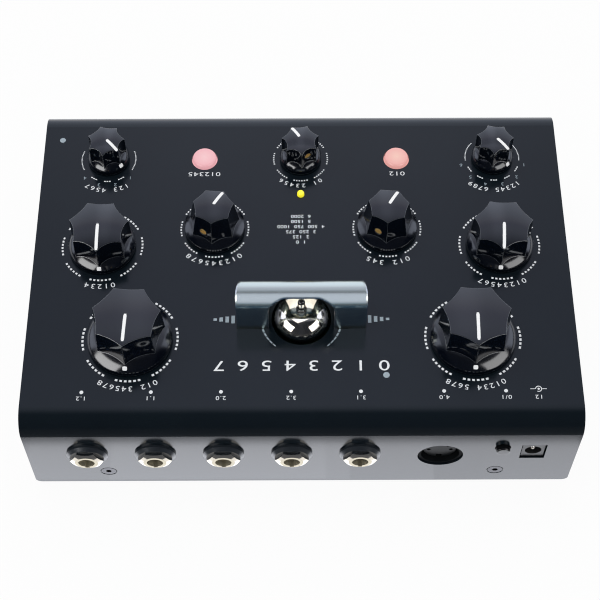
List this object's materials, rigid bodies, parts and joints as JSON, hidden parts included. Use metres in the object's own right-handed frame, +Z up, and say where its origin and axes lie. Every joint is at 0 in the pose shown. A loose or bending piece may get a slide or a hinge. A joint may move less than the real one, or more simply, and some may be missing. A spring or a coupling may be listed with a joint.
{
  "type": "audio delay unit",
  "caption": "Desktop audio delay unit with a valve under a bent metal hood, fluted control knobs, lit push buttons and a rear row of jack, data and power sockets.",
  "frame": {"origin": "centre of the case's footprint, on the plane that the feet stand on", "axes": "+X to the right of the person who plays it, +Y towards the rear with the sockets, +Z up"},
  "size_m": [0.22, 0.1571, 0.0765],
  "materials": {
    "case_black": "satin powder coat",
    "foot_rubber": "matt",
    "black_screw": "black oxide",
    "pot_metal": "plain",
    "steel": "plain",
    "button_pink": "translucent, lit from below",
    "black_plastic": "matt",
    "lamp_yellow": "translucent, lit from below",
    "valve_glass": "clear",
    "electrode_grey": "dark grey",
    "white_ceramic": "ceramic",
    "bright_nickel": "polished nickel",
    "black_collar": "satin",
    "black_button": "semi-gloss",
    "board_green": "solder mask",
    "knob_black": "semi-gloss with a white pointer",
    "screw_brass": "turned"
  },
  "bodies": {
    "case": {"top_cover": "case_black", "bottom_chassis": "case_black", "rubber_feet": "foot_rubber", "cover_screws": "black_screw", "potentiometers": "pot_metal", "mode_switches": "pot_metal", "panel_washers": "steel", "panel_nuts": "steel", "button_switches": "black_plastic", "level_lamp": "lamp_yellow", "valve_glass": "valve_glass", "valve_electrodes": "electrode_grey", "valve_pins": "steel", "valve_socket": "white_ceramic", "valve_hood": "bright_nickel", "jack_housings": "black_plastic", "jack_bushes": "bright_nickel", "jack_washers": "black_collar", "jack_nuts": "bright_nickel", "midi_socket": "black_plastic", "power_inlet": "black_plastic", "power_inlet_pin": "bright_nickel", "power_switch_body": "black_plastic", "control_board": "board_green", "main_board": "board_green", "valve_board": "board_green", "board_spacers": "steel", "board_screws": "steel", "board_link": "black_plastic"},
    "filter_mode_control": {"filter_mode_knob": "knob_black", "filter_mode_spindle": "steel", "filter_mode_grub_screw": "screw_brass"},
    "input_level_control": {"input_level_knob": "knob_black", "input_level_spindle": "steel", "input_level_grub_screw": "screw_brass"},
    "delay_mode_control": {"delay_mode_knob": "knob_black", "delay_mode_spindle": "steel", "delay_mode_grub_screw": "screw_brass"},
    "resonance_control": {"resonance_knob": "knob_black", "resonance_spindle": "steel", "resonance_grub_screw": "screw_brass"},
    "mix_control": {"mix_knob": "knob_black", "mix_spindle": "steel", "mix_grub_screw": "screw_brass"},
    "drive_control": {"drive_knob": "knob_black", "drive_spindle": "steel", "drive_grub_screw": "screw_brass"},
    "feedback_control": {"feedback_knob": "knob_black", "feedback_spindle": "steel", "feedback_grub_screw": "screw_brass"},
    "cutoff_control": {"cutoff_knob": "knob_black", "cutoff_spindle": "steel", "cutoff_grub_screw": "screw_brass"},
    "delay_time_control": {"delay_time_knob": "knob_black", "delay_time_spindle": "steel", "delay_time_grub_screw": "screw_brass"},
    "bypass_press": {"bypass_button": "button_pink"},
    "tap_press": {"tap_button": "button_pink"},
    "power_press": {"power_button": "black_button"}
  },
  "joints": [
    {"name": "filter_mode_turn", "type": "hinge", "parent": "case", "child": "filter_mode_control", "pos_m": [0.082, -0.0502, 0.0545], "axis": [0, 0, 1], "range_deg": [-90, 0]},
    {"name": "input_level_turn", "type": "hinge", "parent": "case", "child": "input_level_control", "pos_m": [0, -0.0502, 0.0545], "axis": [0, 0, 1], "range_deg": [0, 300]},
    {"name": "delay_mode_turn", "type": "hinge", "parent": "case", "child": "delay_mode_control", "pos_m": [-0.082, -0.0502, 0.0545], "axis": [0, 0, 1], "range_deg": [-120, 30]},
    {"name": "resonance_turn", "type": "hinge", "parent": "case", "child": "resonance_control", "pos_m": [0.0358, -0.0146, 0.0545], "axis": [0, 0, 1], "range_deg": [-300, 0]},
    {"name": "mix_turn", "type": "hinge", "parent": "case", "child": "mix_control", "pos_m": [-0.0358, -0.0146, 0.0545], "axis": [0, 0, 1], "range_deg": [-300, 0]},
    {"name": "drive_turn", "type": "hinge", "parent": "case", "child": "drive_control", "pos_m": [0.082, -0.0061, 0.0545], "axis": [0, 0, 1], "range_deg": [-149, 151]},
    {"name": "feedback_turn", "type": "hinge", "parent": "case", "child": "feedback_control", "pos_m": [-0.082, -0.0061, 0.0545], "axis": [0, 0, 1], "range_deg": [-147, 153]},
    {"name": "cutoff_turn", "type": "hinge", "parent": "case", "child": "cutoff_control", "pos_m": [0.0683, 0.0378, 0.0545], "axis": [0, 0, 1], "range_deg": [-147, 153]},
    {"name": "delay_time_turn", "type": "hinge", "parent": "case", "child": "delay_time_control", "pos_m": [-0.0683, 0.0378, 0.0545], "axis": [0, 0, 1], "range_deg": [-149, 151]},
    {"name": "bypass_push", "type": "slide", "parent": "case", "child": "bypass_press", "axis": [0, 0, -1], "range_m": [0, 0.0015], "stiffness_N_per_m": 600, "springref_m": -0.001},
    {"name": "tap_push", "type": "slide", "parent": "case", "child": "tap_press", "axis": [0, 0, -1], "range_m": [0, 0.0015], "stiffness_N_per_m": 600, "springref_m": -0.001},
    {"name": "power_push", "type": "slide", "parent": "case", "child": "power_press", "axis": [0, -1, 0], "range_m": [0, 0.0015], "stiffness_N_per_m": 700, "springref_m": -0.001}
  ]
}
